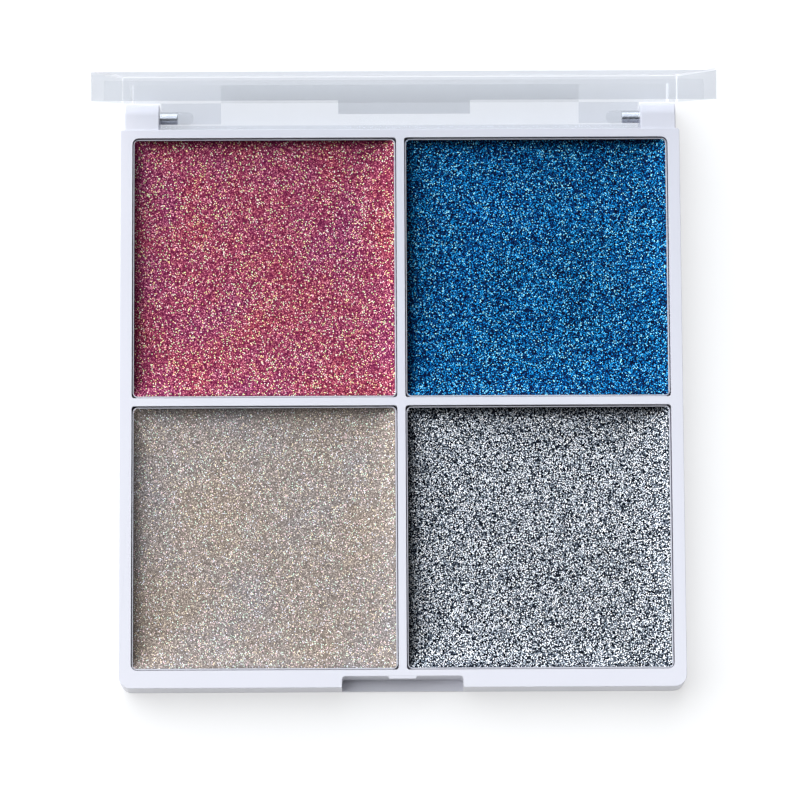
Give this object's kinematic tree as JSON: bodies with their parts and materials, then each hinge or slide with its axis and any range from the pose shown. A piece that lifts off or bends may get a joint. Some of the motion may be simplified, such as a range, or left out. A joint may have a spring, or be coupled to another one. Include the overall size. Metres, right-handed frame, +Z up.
{
  "type": "eyeshadow palette",
  "caption": "Square eyeshadow palette: white tray with square metal pans of glitter cream shadow and a clear lid hinged on steel pins, standing open.",
  "frame": {"origin": "centre of the tray's underside, midway between its side walls and between its front and rear walls, without the hinge lugs", "axes": "+Z up out of the wells, +Y back towards the hinge, -Y towards the thumb recess, +X to the right as seen from the front"},
  "size_m": [0.08, 0.0889, 0.0857],
  "materials": {
    "white_plastic": "satin moulded white",
    "clear_plastic": "polished clear colourless",
    "steel": "bright drawn wire",
    "pan_metal": "pressed bright sheet",
    "shadow_rose": "rose cream with gold, green and pink glitter",
    "shadow_blue": "deep blue cream with light blue glitter",
    "shadow_champagne": "taupe cream with iridescent pink, gold and green glitter",
    "shadow_silver": "charcoal cream packed with silver glitter",
    "adhesive": "translucent adhesive pad",
    "label_paper": "blank matt paper"
  },
  "bodies": {
    "tray": {"base": "white_plastic", "hinge_pin_left": "steel", "hinge_pin_right": "steel", "pan_rose": "pan_metal", "pan_blue": "pan_metal", "pan_champagne": "pan_metal", "pan_silver": "pan_metal", "shadow_rose": "shadow_rose", "shadow_blue": "shadow_blue", "shadow_champagne": "shadow_champagne", "shadow_silver": "shadow_silver", "glue_rose": "adhesive", "glue_blue": "adhesive", "glue_champagne": "adhesive", "glue_silver": "adhesive", "label": "label_paper"},
    "lid": {"lid": "clear_plastic"}
  },
  "joints": [
    {"name": "lid_hinge", "type": "hinge", "parent": "tray", "child": "lid", "pos_m": [0, 0.04225, 0.0039], "axis": [-1, 0, 0], "range_deg": [-77.5, 15]}
  ]
}
